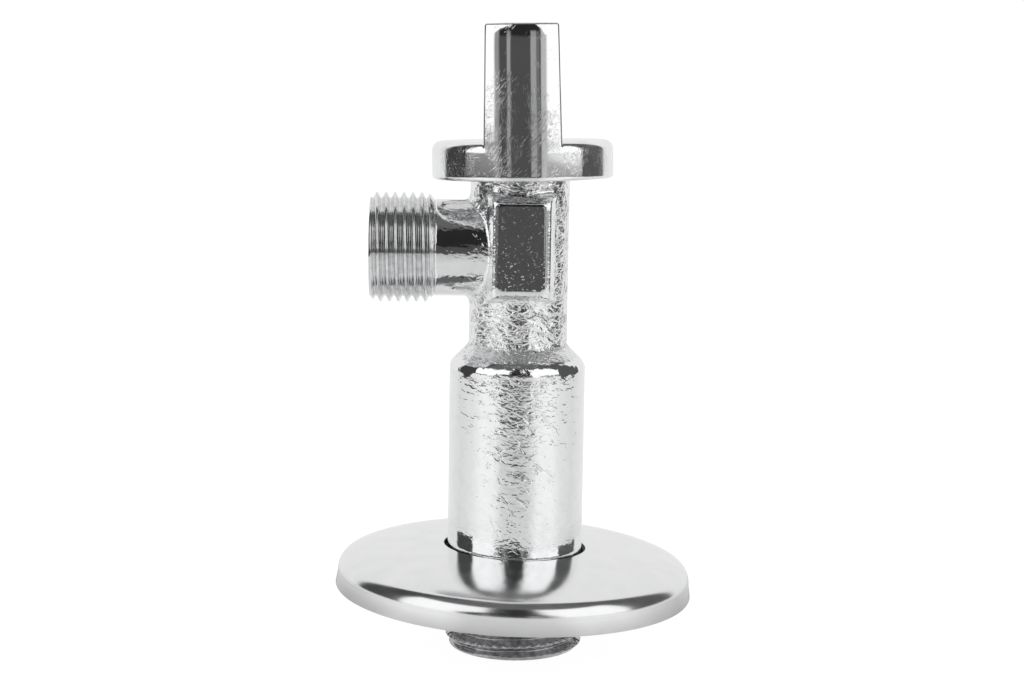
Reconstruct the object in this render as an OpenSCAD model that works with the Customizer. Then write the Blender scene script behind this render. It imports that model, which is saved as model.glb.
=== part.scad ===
// Angle stop valve, G1/2 inlet by G3/8 outlet, with a bar handle and a loose wall escutcheon.
// The inlet's end is at z = 0, the valve's axis is +Z and the outlet points to -X.
// The valve is drawn closed. All lengths are in millimetres.

/* [Body] */
// height of the valve body's mouth above the inlet's end
body_h = 72; // [71.5:0.1:72.3]
// radius of the long lower barrel
barrel_r = 10.24; // [10:0.02:10.24]
// height at which the barrel ends and the shoulder starts
barrel_top = 42.9; // [41:0.1:43]
// radius of the slim neck above the shoulder
neck_r = 7.4; // [7.3:0.05:7.8]
// height at which the shoulder has run into the neck
shoulder_top = 47; // [46.5:0.1:48]

/* [Threads] */
// crest radius of the inlet thread, G1/2 B
inlet_crest_r = 10.43; // [10.42:0.01:10.47]
// length of the inlet thread
inlet_thread_l = 11.4; // [10:0.1:11.5]
// crest radius of the outlet thread, G3/8 B
outlet_crest_r = 8.21; // [8.21:0.01:8.33]
// height of the outlet's axis above the inlet's end
outlet_z = 60.8; // [60:0.1:61.2]
// distance from the valve's axis to the outlet's end
outlet_reach = 22.3; // [22:0.1:26]

/* [Pads] */
// distance across the two wrench pads
pad_af = 17; // [16.6:0.1:17.2]
// width of a pad over its bevels
pad_w = 10; // [9:0.1:10.6]
// height of a pad over its bevels
pad_h = 15.8; // [14:0.2:16]

/* [Bores] */
// radius of the inlet bore
inlet_bore_r = 6.75; // [6:0.05:7.2]
// radius of the bore that takes the outlet tube
tube_bore_r = 5.1; // [4.9:0.05:5.3]
// height of the valve seat's rim
seat_z = 53.6; // [53.6:0.1:53.6]

/* [Escutcheon] */
// outer radius of the escutcheon
plate_r = 27.1; // [24:0.1:32]
// height of its rim above the inlet's end
plate_z = 8.73; // [8.6:0.01:8.9]
// thickness of its sheet
sheet_t = 0.7; // [0.5:0.05:0.8]
// radius of the hole that the barrel passes
plate_hole_r = 10.75; // [10.75:0.05:10.9]

/* [Handle] */
// radius of the handle's disc
disc_r = 13.5; // [13:0.1:15]
// height of the disc's lower edge above the inlet's end
disc_z = 71.3; // [71.3:0.1:71.6]
// height of the top of the bar
bar_top = 93.7; // [93.5:0.1:95]
// width of the bar at its top
bar_w_top = 10.6; // [10.4:0.1:11]
// width of the bar at its foot
bar_w_foot = 11.3; // [11:0.1:12]
// angle at which the closed handle comes to rest, in degrees
handle_angle = -2.4; // [-45:0.1:45]

/* [Hidden] */
$fn = 96;
play = 0.05;                       // gap between pieces that touch
inlet_pitch = 1.814;               // G1/2
outlet_pitch = 1.337;              // G3/8
inlet_depth = 1.1;                 // thread height, inlet
outlet_depth = 0.8;                // thread height, outlet
crest_flat = 0.22;
outlet_neck_r = 7.23;
outlet_thread_l = 9.7;
undercut_w = 1.6;
disc_h = 5.7;
disc_wall = 1.5;
disc_top = disc_z + disc_h;
ceiling_z = disc_z + 4.6;          // roof of the hollow under the handle's disc
spline_z = 75.3;                   // shoulder that the handle's boss rests on
drive_af = 4.9;
drive_top = 82.6;
web_z = 82.9;                      // web that the handle screw pulls on
web_t = 2;
screw_r = 1.5;                     // M3
bonnet_skirt_z = 62.5;
bonnet_top = 75;
piston_r = 4.2;
piston_z = 60.65;
piston_top = 68;
chamber_r = 5.4;
bonnet_r = 5.95;                   // M12 x 1
washer_r = 4.7;
washer_t = 2.4;
boss_z = seat_z + washer_t;        // top of the seat washer

// one piece per node

// ---- shared shapes ----

// a solid of revolution about Z from radius and height pairs
module turned(points) {
  rotate_extrude() polygon(points);
}

// V grooves cut round a threaded length that starts at z0, leaving flat crests
module thread_grooves(crest_r, depth, pitch, z0, count) {
  half = (pitch - crest_flat) / 2;
  for (i = [0 : count - 1])
    translate([0, 0, z0 + i * pitch + crest_flat + half])
      turned([[crest_r + 1, -half * (1 + 1 / depth)], [crest_r + 1, half * (1 + 1 / depth)],
        [crest_r - depth, 0.12], [crest_r - depth, -0.12]]);
}

// an O-ring of cord radius c round the axis, with its centre circle at radius r and height z
module o_ring(r, c, z) {
  translate([0, 0, z]) rotate_extrude() translate([r, 0]) circle(r = c, $fn = 48);
}

// a point at the outlet's end, with its axis turned from +Z to -X
module at_outlet() {
  translate([-outlet_reach, 0, outlet_z]) rotate([0, 90, 0]) children();
}

// ---- valve body ----

// outline of the barrel, its shoulder and its neck, with both bends of the shoulder rounded
module barrel() {
  turned([[0, 0], [inlet_crest_r - 0.45, 0], [inlet_crest_r, 0.45], [inlet_crest_r, inlet_thread_l],
    [inlet_crest_r - inlet_depth, inlet_thread_l + 0.4],
    [inlet_crest_r - inlet_depth, inlet_thread_l + undercut_w],
    [barrel_r, inlet_thread_l + undercut_w + 0.5],
    [barrel_r, barrel_top], [barrel_r - 0.14, barrel_top + 0.65], [barrel_r - 0.49, barrel_top + 1.18],
    [neck_r + 0.4, shoulder_top - 0.97], [neck_r + 0.09, shoulder_top - 0.52], [neck_r, shoulder_top],
    [neck_r, body_h - 0.3], [neck_r - 0.3, body_h], [0, body_h]]);
}

// the outlet's neck and thread, from its end to the valve's axis
module outlet_stub() {
  at_outlet() turned([[0, 0], [outlet_crest_r - 0.45, 0], [outlet_crest_r, 0.45],
    [outlet_crest_r, outlet_thread_l - 0.8], [outlet_neck_r, outlet_thread_l],
    [outlet_neck_r, outlet_reach - 3], [0, outlet_reach]]);
}

// one block that carries the front and the back wrench pad, each with four bevels
module pads() {
  hw = pad_w / 2;
  hd = pad_af / 2;
  hh = pad_h / 2;
  bevel = 1.3;
  pad_z = 61.2;
  translate([0, 0, pad_z]) intersection() {
    translate([0, 0, -hh]) linear_extrude(height = pad_h)
      polygon([[-hw, -hd + bevel], [-hw + bevel, -hd], [hw - bevel, -hd], [hw, -hd + bevel],
        [hw, hd - bevel], [hw - bevel, hd], [-hw + bevel, hd], [-hw, hd - bevel]]);
    rotate([90, 0, 90]) translate([0, 0, -hw]) linear_extrude(height = pad_w)
      polygon([[-hd, -hh + 1.8], [-hd + 1.6, -hh], [hd - 1.6, -hh], [hd, -hh + 1.8],
        [hd, hh - bevel], [hd - bevel, hh], [-hd + bevel, hh], [-hd, hh - bevel]]);
  }
}

// everything that is hollow inside the body, on the valve's axis
module body_bore() {
  seat_hole_r = 3.7;
  turned([[0, -1], [inlet_bore_r + 1.8, -1], [inlet_bore_r, 0.8], [inlet_bore_r, 38.5],
    [seat_hole_r, 42], [seat_hole_r, seat_z], [seat_hole_r + 0.5, seat_z],
    [seat_hole_r + 0.8, seat_z - 0.5], [seat_hole_r + 0.8, seat_z - 1.4],
    [chamber_r, seat_z - 1.4], [chamber_r, 66.2], [bonnet_r + play, 66.75],
    [bonnet_r + play, 70.85], [neck_r - 0.65, 70.85], [neck_r - 0.65, body_h + 1], [0, body_h + 1]]);
}

// the outlet's bores: a cone for the olive, the tube's seat and the throat into the chamber
module outlet_bore() {
  tube_depth = 12.1;
  at_outlet() turned([[0, -0.5], [tube_bore_r + 1.1, -0.5], [tube_bore_r, 0.6],
    [tube_bore_r, tube_depth], [4.2, tube_depth + 0.5], [4.2, outlet_reach - 1], [0, outlet_reach]]);
}

module valve_body() color("silver") difference() {
  union() {
    barrel();
    outlet_stub();
    pads();
  }
  thread_grooves(inlet_crest_r, inlet_depth, inlet_pitch, 0.45, 6);
  at_outlet() thread_grooves(outlet_crest_r, outlet_depth, outlet_pitch, 0.45, 7);
  body_bore();
  outlet_bore();
}

// ---- escutcheon ----

// outline of the domed sheet, inset by d from its outer face: nearly level at the hole, steeper towards the rim
module plate_outline(d) {
  round_r = 2.6;                   // radius of the rim's rounded edge
  flare = 0.3;                     // how much the rim's wall widens towards its foot
  centre_r = plate_r - flare - round_r;
  centre_z = plate_z + 2.4;
  edge_slope = 27;                 // slope of the dome where it meets the rounded edge
  tip_r = centre_r + (round_r - d) * sin(edge_slope);
  tip_z = centre_z + (round_r - d) * cos(edge_slope);
  reach = tip_r - plate_hole_r;
  translate([centre_r, centre_z]) circle(r = round_r - d, $fn = 64);
  polygon([[0, plate_z - d], [plate_r - d, plate_z - d], [plate_r - flare - d, centre_z],
    for (t = [1, 0.94, 0.88, 0.8, 0.7, 0.58, 0.4, 0.2, 0])
      [plate_hole_r + reach * t, tip_z + reach * (0.06 * (1 - t) + 0.088 * (1 - pow(t, 5)))],
    [0, tip_z + reach * 0.148]]);
}

module escutcheon() color("gainsboro") rotate_extrude() difference() {
  intersection() {
    plate_outline(0);
    translate([0, plate_z]) square([plate_r + 1, 20]);
  }
  plate_outline(sheet_t);
  translate([0, plate_z - 1]) square([plate_hole_r, 30]);
}

// soft ring bonded under the hole's edge, which grips the barrel
module escutcheon_grip_ring() color("dimgray") {
  inner_r = 10.5;
  turned([[inner_r, 13.1], [14.2, 13.1], [14.2, 14.6], [11.2, 14.8], [inner_r, 14.8]]);
}

// ---- headwork ----

// the screwed bonnet that guides the spindle, with its hexagon under the handle
module bonnet() color("goldenrod") {
  hex_af = 13;
  hex_z = body_h + play;
  thread_top = 70.6;
  guide_top = 71.5;
  difference() {
    union() {
      turned([[0, bonnet_skirt_z], [5.0, bonnet_skirt_z], [5.2, bonnet_skirt_z + 0.2],
        [5.2, 66.3], [bonnet_r - 0.5, 66.9], [bonnet_r, 67.4], [bonnet_r, thread_top],
        [5.75, thread_top + 0.2], [5.75, hex_z + 0.5], [0, hex_z + 0.5]]);
      intersection() {
        translate([0, 0, hex_z]) cylinder(h = bonnet_top - hex_z, r = hex_af / sqrt(3), $fn = 6);
        turned([[0, hex_z], [hex_af / 2 + 0.25, hex_z], [hex_af / 2 + 1.2, hex_z + 0.5],
          [hex_af / 2 + 1.2, bonnet_top - 0.5], [hex_af / 2 + 0.25, bonnet_top], [0, bonnet_top]]);
      }
    }
    thread_grooves(bonnet_r, 0.55, 1, 67.3, 3);
    turned([[0, bonnet_skirt_z - 1], [piston_r + play, bonnet_skirt_z - 1],
      [piston_r + play, guide_top], [4.05, guide_top], [4.05, bonnet_top + 1], [0, bonnet_top + 1]]);
  }
}

module bonnet_o_ring() color("black") o_ring(6.25, 0.43, 71.42);

// ---- spindle ----

module spindle() color("goldenrod") rotate([0, 0, handle_angle]) {
  thread_r = 3.98;                 // Tr 8 x 1.5
  groove_w = 1.7;
  groove_r = 2.9;
  lower_groove_z = 63.3;
  upper_groove_z = 65.8;
  socket_r = 1.65;
  clip_groove_r = 2.1;
  difference() {
    union() {
      turned([[0, piston_z], [piston_r - 0.3, piston_z], [piston_r, piston_z + 0.3],
        [piston_r, lower_groove_z], [groove_r, lower_groove_z],
        [groove_r, lower_groove_z + groove_w], [piston_r, lower_groove_z + groove_w],
        [piston_r, upper_groove_z], [groove_r, upper_groove_z],
        [groove_r, upper_groove_z + groove_w], [piston_r, upper_groove_z + groove_w],
        [piston_r, piston_top - 0.2], [piston_r - 0.2, piston_top], [3.1, piston_top],
        [3.1, 68.7], [thread_r, 69.3], [thread_r, spline_z - 0.3],
        [thread_r - 0.3, spline_z], [0, spline_z]]);
      intersection() {
        translate([-drive_af / 2, -drive_af / 2, spline_z - 1])
          cube([drive_af, drive_af, drive_top - spline_z + 1]);
        turned([[0, spline_z - 1], [3.12, spline_z - 1], [3.12, drive_top - 0.4],
          [2.72, drive_top], [0, drive_top]]);
      }
    }
    thread_grooves(thread_r, 0.75, 1.5, 69.4, 3);
    turned([[0, piston_z - 1], [socket_r, piston_z - 1], [socket_r, 61.5], [clip_groove_r, 61.5],
      [clip_groove_r, 62.3], [socket_r, 62.3], [socket_r, 65.7], [0, 66.4]]);
    turned([[0, 75.8], [screw_r + play, 76.6], [screw_r + play, drive_top - 0.3],
      [screw_r + 0.4, drive_top + 0.1], [0, drive_top + 1]]);
  }
}

module spindle_o_ring_lower() color("black") o_ring(3.575, 0.65, 64.15);

module spindle_o_ring_upper() color("black") o_ring(3.575, 0.65, 66.65);

// ---- closing member ----

// the carrier that presses the soft washer on the seat, with the stem that the spindle turns round
module washer_carrier() color("goldenrod") difference() {
  stem_r = 1.6;
  turned([[0, boss_z], [washer_r, boss_z], [washer_r, boss_z + 1.4], [washer_r - 0.2, boss_z + 1.6],
    [3, boss_z + 1.6], [3, 60.4], [2.8, 60.6], [stem_r, 60.6], [stem_r, 61.57], [1.2, 61.57],
    [1.2, 62.23], [stem_r, 62.23], [stem_r, 65.1], [stem_r - 0.3, 65.4], [0, 65.4]]);
  translate([0, 0, boss_z - 1]) cylinder(h = 4.8, r = screw_r + play);
}

// the spring ring that holds the carrier in the spindle, split on one side
module carrier_clip() color("dimgray") difference() {
  translate([0, 0, 61.6]) cylinder(h = 0.6, r = 2.02);
  translate([0, 0, 61]) cylinder(h = 2, r = 1.26);
  translate([0, -0.3, 61]) cube([3, 0.6, 2]);
}

module seat_washer() color("black") difference() {
  translate([0, 0, seat_z]) cylinder(h = washer_t, r = washer_r);
  translate([0, 0, seat_z - 1]) cylinder(h = washer_t + 2, r = 1.75);
}

module washer_plate() color("gold") difference() {
  translate([0, 0, seat_z - 0.5]) cylinder(h = 0.5, r = 3.1);
  translate([0, 0, seat_z - 1]) cylinder(h = 2, r = 1.65);
}

// cheese-head M3 screw with a slot, driven upwards into the carrier
module washer_screw() color("gold") difference() {
  head_z = seat_z - 0.5;
  turned([[0, head_z - 1.8], [2.4, head_z - 1.8], [2.7, head_z - 1.5], [2.7, head_z],
    [screw_r, head_z], [screw_r, head_z + 6.1], [screw_r - 0.3, head_z + 6.4], [0, head_z + 6.4]]);
  translate([-3, -0.4, head_z - 3]) cube([6, 0.8, 2.2]);
}

// ---- handle ----

// half-width of the bar's side faces at height z
function bar_half(z) = (bar_w_foot + (bar_w_top - bar_w_foot) * (z - disc_top) / (bar_top - disc_top)) / 2;

// the disc with its rounded edges, and the round envelope that trims the bar's ends
module disc_envelope(top, top_round, foot_round) {
  rotate_extrude() intersection() {
    square([disc_r + 1, 120]);
    union() {
      translate([disc_r - top_round, top - top_round]) circle(r = top_round, $fn = 48);
      translate([disc_r - foot_round, disc_z + foot_round]) circle(r = foot_round, $fn = 48);
      polygon([[0, disc_z], [disc_r - foot_round, disc_z], [disc_r, disc_z + foot_round],
        [disc_r, top - top_round], [disc_r - top_round, top], [0, top]]);
    }
  }
}

// the bar over its full length, wider at its foot, before its ends are trimmed round
module bar_block() {
  foot = bar_half(disc_z);
  top = bar_half(bar_top);
  rotate([90, 0, 0]) translate([0, 0, -disc_r - 1]) linear_extrude(height = 2 * disc_r + 2)
    polygon([[-foot, disc_z], [foot, disc_z], [top, bar_top], [-top, bar_top]]);
}

// the two pockets that keep the bar's walls even, open to the hollow under the disc
module bar_pocket() {
  translate([-3.7, 5.3, disc_z - 1]) cube([7.4, 6.4, 88.5 - disc_z + 1]);
}

module handle() color("whitesmoke") rotate([0, 0, handle_angle]) difference() {
  union() {
    disc_envelope(disc_top, 1.4, 0.5);
    intersection() {
      disc_envelope(bar_top, 0.7, 0.5);
      bar_block();
    }
  }
  // the hollow under the disc, which leaves a boss round the spindle
  difference() {
    turned([[0, disc_z - 1], [disc_r - disc_wall, disc_z - 1], [disc_r - disc_wall, ceiling_z - 0.5],
      [disc_r - disc_wall - 0.5, ceiling_z], [0, ceiling_z]]);
    translate([0, 0, spline_z + play]) cylinder(h = 2, r = 4.4);
  }
  bar_pocket();
  mirror([0, 1, 0]) bar_pocket();
  // the square socket, the screw's hole, its head's well and the cap's seat
  translate([-drive_af / 2 - play, -drive_af / 2 - play, disc_z])
    cube([drive_af + 2 * play, drive_af + 2 * play, web_z - disc_z]);
  cylinder(h = 90, r = screw_r + 0.15);
  translate([0, 0, web_z + web_t]) cylinder(h = 10, r = 3.4);
  translate([0, 0, bar_top - 2.1]) cylinder(h = 4, r = 4);
}

// split spring washer under the handle screw's head
module handle_lock_washer() color("dimgray") difference() {
  washer_z = web_z + web_t + 0.02;
  translate([0, 0, washer_z]) cylinder(h = 0.6, r = 2.7);
  translate([0, 0, washer_z - 1]) cylinder(h = 3, r = 1.6);
  translate([0, -0.25, washer_z - 1]) cube([4, 0.5, 3]);
}

// pan-head M3 screw with a cross recess, which holds the handle on the spindle
module handle_screw() color("silver") difference() {
  head_z = web_z + web_t + 0.65;
  turned([[0, head_z - 8.05], [screw_r - 0.3, head_z - 8.05], [screw_r, head_z - 7.75],
    [screw_r, head_z], [2.75, head_z], [2.75, head_z + 1.1], [2.2, head_z + 1.8], [0, head_z + 1.9]]);
  for (a = [0, 90])
    rotate([0, 0, a]) translate([-1.6, -0.3, head_z + 0.7]) cube([3.2, 0.6, 3]);
}

// plain plug that closes the well over the handle screw, flush with the bar's top
module index_cap() color("silver") difference() {
  cap_z = bar_top - 2.05;
  turned([[0, 89], [3.25, 89], [3.3, 89.6], [3.3, cap_z], [3.9, cap_z], [3.9, bar_top - 0.3],
    [3.6, bar_top], [0, bar_top]]);
  translate([0, 0, 88]) cylinder(h = 4.4, r = 2.5);
}

valve_body();
escutcheon();
escutcheon_grip_ring();
bonnet();
bonnet_o_ring();
spindle();
spindle_o_ring_lower();
spindle_o_ring_upper();
washer_carrier();
carrier_clip();
seat_washer();
washer_plate();
washer_screw();
handle();
handle_lock_washer();
handle_screw();
index_cap();
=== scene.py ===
"""Angle stop valve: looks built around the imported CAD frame.

Lengths are in millimetres, and become metres when a mesh is made.
"""

import math

import bmesh
import bpy
import numpy as np
from mathutils import Matrix


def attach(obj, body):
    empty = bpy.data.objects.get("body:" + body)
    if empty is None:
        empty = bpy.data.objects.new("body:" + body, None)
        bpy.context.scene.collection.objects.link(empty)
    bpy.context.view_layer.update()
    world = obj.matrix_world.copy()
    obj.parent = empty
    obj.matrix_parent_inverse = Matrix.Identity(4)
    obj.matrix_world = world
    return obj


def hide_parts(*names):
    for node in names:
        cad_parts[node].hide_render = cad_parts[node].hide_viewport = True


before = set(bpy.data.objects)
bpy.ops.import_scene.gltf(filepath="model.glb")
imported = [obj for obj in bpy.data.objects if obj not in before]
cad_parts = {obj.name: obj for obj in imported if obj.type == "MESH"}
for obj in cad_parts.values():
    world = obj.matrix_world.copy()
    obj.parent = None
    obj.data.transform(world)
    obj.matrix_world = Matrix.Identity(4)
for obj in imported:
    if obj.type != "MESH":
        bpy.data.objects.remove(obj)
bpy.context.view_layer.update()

MM = 0.001
TURN = 2 * math.pi


# ---------------------------------------------------------------- distance fields and their surfaces


def round_and(a, b, r):
    """Distance to what is inside both a and b, with the edge between them rounded to radius r."""
    outer = np.sqrt(np.maximum(a + r, 0) ** 2 + np.maximum(b + r, 0) ** 2)
    return np.minimum(-r, np.maximum(a, b)) + outer


def round_or(a, b, r):
    """Distance to what is inside a or b, with a fillet of radius r between them."""
    inner = np.sqrt(np.maximum(r - a, 0) ** 2 + np.maximum(r - b, 0) ** 2)
    return np.maximum(r, np.minimum(a, b)) - inner


# the corners of a grid cell, and the pairs of corners that its edges join
CORNERS = np.array([(i, j, k) for i in (0, 1) for j in (0, 1) for k in (0, 1)])
EDGES = [(a, b) for a in range(8) for b in range(a + 1, 8) if abs(CORNERS[a] - CORNERS[b]).sum() == 1]

GRADIENT_REACH = 0.01
SETTLE_ROUNDS = 4
SLAB = 12  # grid planes worked out at a time, to save memory


def gradient(field, p):
    """The field's slope along each axis, at the points p."""
    out = np.empty_like(p)
    for axis in range(3):
        step = np.zeros(3)
        step[axis] = GRADIENT_REACH
        out[:, axis] = (field(*(p + step).T) - field(*(p - step).T)) / (2 * GRADIENT_REACH)
    return out


def settle(field, p, step):
    """The points p moved onto the field's surface, none by more than half a step at a time."""
    for _ in range(SETTLE_ROUNDS):
        g = gradient(field, p)
        move = -field(*p.T)[:, None] * g / np.maximum((g * g).sum(1), 0.2)[:, None]
        far = np.linalg.norm(move, axis=1)[:, None]
        p = p + move * np.minimum(1, 0.5 * step / np.maximum(far, 1e-9))
    return p


def surface_of(field, low, high, step):
    """(points, quads, outward normals) of the surface where field is zero.

    It is made by surface nets: one point in each grid cell that the surface passes through, and
    one quad across each grid edge that it cuts.
    """
    low = np.array(low, float)
    high = np.array(high, float)
    axes = [np.arange(a, b + step, step) for a, b in zip(low, high)]
    values = np.empty([len(a) for a in axes], np.float32)
    for i in range(0, len(axes[0]), SLAB):
        grid = np.meshgrid(axes[0][i : i + SLAB], axes[1], axes[2], indexing="ij")
        values[i : i + SLAB] = field(*grid)
    inside = values < 0

    shape = [n - 1 for n in inside.shape]
    filled = np.zeros(shape, np.int8)
    for i, j, k in CORNERS:
        filled += inside[i : i + shape[0], j : j + shape[1], k : k + shape[2]]
    cells = np.argwhere((filled > 0) & (filled < 8))
    number = np.full(shape, -1, np.int64)
    number[tuple(cells.T)] = np.arange(len(cells))

    # each cell's point is the mean of where its edges are cut
    at = np.stack([values[tuple((cells + c).T)] for c in CORNERS], 1).astype(float)
    total = np.zeros((len(cells), 3))
    count = np.zeros(len(cells))
    for a, b in EDGES:
        cut = (at[:, a] < 0) != (at[:, b] < 0)
        t = at[cut, a] / (at[cut, a] - at[cut, b])
        total[cut] += CORNERS[a] + t[:, None] * (CORNERS[b] - CORNERS[a])
        count[cut] += 1
    points = low + (cells + total / count[:, None]) * step

    quads = []
    for axis in range(3):
        u = np.eye(3, dtype=int)[(axis + 1) % 3]
        v = np.eye(3, dtype=int)[(axis + 2) % 3]
        near = np.take(inside, range(inside.shape[axis] - 1), axis)
        far = np.take(inside, range(1, inside.shape[axis]), axis)
        for crossing, way in ((near & ~far, 1), (~near & far, -1)):
            p = np.argwhere(crossing)
            ring = [number[tuple((p - d).T)] for d in (u + v, v, 0 * u, u)]
            quads.append(np.stack(ring[::way], 1))
    points = settle(field, points, step)
    slope = gradient(field, points)
    return points, np.concatenate(quads), slope / np.linalg.norm(slope, axis=1)[:, None]


# ---------------------------------------------------------------- noise for cast surfaces


def lattice_noise(p, size, seed):
    """Smooth noise from -1 to 1 at points p, with features of that size."""
    q = p / size + 1000
    base = np.floor(q).astype(np.int64)
    f = q - base
    f = f * f * f * (f * (f * 6 - 15) + 10)
    out = np.zeros(len(p))
    for c in CORNERS:
        # a hash of the lattice corner gives its value
        h = base + c
        key = (h[:, 0] * 73856093 ^ h[:, 1] * 19349663 ^ h[:, 2] * 83492791 ^ seed * 2654435761) & 0xFFFFFFFF
        key = ((key ^ (key >> 15)) * 2246822519) & 0xFFFFFFFF
        key = ((key ^ (key >> 13)) * 3266489917) & 0xFFFFFFFF
        value = ((key ^ (key >> 16)) & 0xFFFF) / 32767.5 - 1
        out += value * np.prod(np.where(c == 1, f, 1 - f), axis=1)
    return out


# ---------------------------------------------------------------- meshes


def make_object(name, points, faces, smooth=True):
    """An object of that name from points in millimetres."""
    mesh = bpy.data.meshes.new(name)
    mesh.from_pydata((np.asarray(points) * MM).tolist(), [], np.asarray(faces).tolist())
    mesh.update()
    if smooth:
        mesh.shade_smooth()
    else:
        mesh.shade_flat()
    obj = bpy.data.objects.new(name, mesh)
    bpy.context.scene.collection.objects.link(obj)
    return obj


def move_mesh(obj, matrix):
    obj.data.transform(matrix)
    obj.data.update()


def weld(obj):
    """Joins points that coincide, and drops what is left over."""
    mesh = bmesh.new()
    mesh.from_mesh(obj.data)
    bmesh.ops.remove_doubles(mesh, verts=mesh.verts, dist=2e-6)
    bmesh.ops.dissolve_degenerate(mesh, edges=mesh.edges, dist=1e-6)
    loose = [v for v in mesh.verts if not v.link_faces]
    bmesh.ops.delete(mesh, geom=loose, context="VERTS")
    bmesh.ops.recalc_face_normals(mesh, faces=mesh.faces)
    mesh.to_mesh(obj.data)
    mesh.free()
    for polygon in obj.data.polygons:
        polygon.use_smooth = True


def store(obj, name, values):
    """Keeps one number for each point of a mesh, for its material to read."""
    layer = obj.data.attributes.new(name, "FLOAT", "POINT")
    layer.data.foreach_set("value", values.astype(np.float32))


def lathe(profile, segments):
    """(points, quads) of a closed profile turned about Z.

    The profile is (radius, height) pairs and runs anticlockwise.
    """
    profile = np.array(profile, float)
    angle = np.arange(segments) * TURN / segments
    r = profile[:, 0, None]
    z = profile[:, 1, None]
    points = np.stack([r * np.cos(angle), r * np.sin(angle), z + 0 * angle], -1).reshape(-1, 3)
    i, j = np.meshgrid(np.arange(len(profile)), np.arange(segments), indexing="ij")
    i2 = (i + 1) % len(profile)
    j2 = (j + 1) % segments
    quads = np.stack([i * segments + j, i * segments + j2, i2 * segments + j2, i2 * segments + j], -1)
    return points, quads.reshape(-1, 4)


def arc(centre, radius, start, end, count):
    """Points on an arc in a profile, angles in degrees from the outward radius."""
    angle = np.radians(np.linspace(start, end, count))
    return np.stack([centre[0] + radius * np.cos(angle), centre[1] + radius * np.sin(angle)], 1)


def step_up(value, low, high):
    """0 below low and 1 above high, with a smooth rise between them."""
    t = np.clip((value - low) / (high - low), 0, 1)
    return t * t * (3 - 2 * t)


# ---------------------------------------------------------------- camera

VIEW_ANGLE = -2.4  # the camera stands this many degrees round the valve's axis
VIEW_TURN = Matrix.Rotation(math.radians(VIEW_ANGLE), 4, "Z")
CAMERA_AT = (-0.86, -275.1, 82.3)  # before that turn
CAMERA_PITCH = math.radians(7.36)  # below level
CAMERA_ROLL = math.radians(0.88)
CAMERA_LENS = 64.6
CAMERA_SENSOR = 36


def make_camera():
    """The camera that was fitted to the ellipses of the escutcheon, the shoulder and the handle's disc."""
    camera = bpy.data.cameras.new("camera")
    camera.lens = CAMERA_LENS
    camera.sensor_width = CAMERA_SENSOR
    camera.clip_start = 0.01
    camera.clip_end = 50
    obj = bpy.data.objects.new("camera", camera)
    bpy.context.scene.collection.objects.link(obj)
    obj.matrix_world = (
        VIEW_TURN
        @ Matrix.Translation([v * MM for v in CAMERA_AT])
        @ Matrix.Rotation(math.pi / 2 - CAMERA_PITCH, 4, "X")
        @ Matrix.Rotation(CAMERA_ROLL, 4, "Z")
    )
    bpy.context.scene.camera = obj


make_camera()


# ---------------------------------------------------------------- node materials


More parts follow.
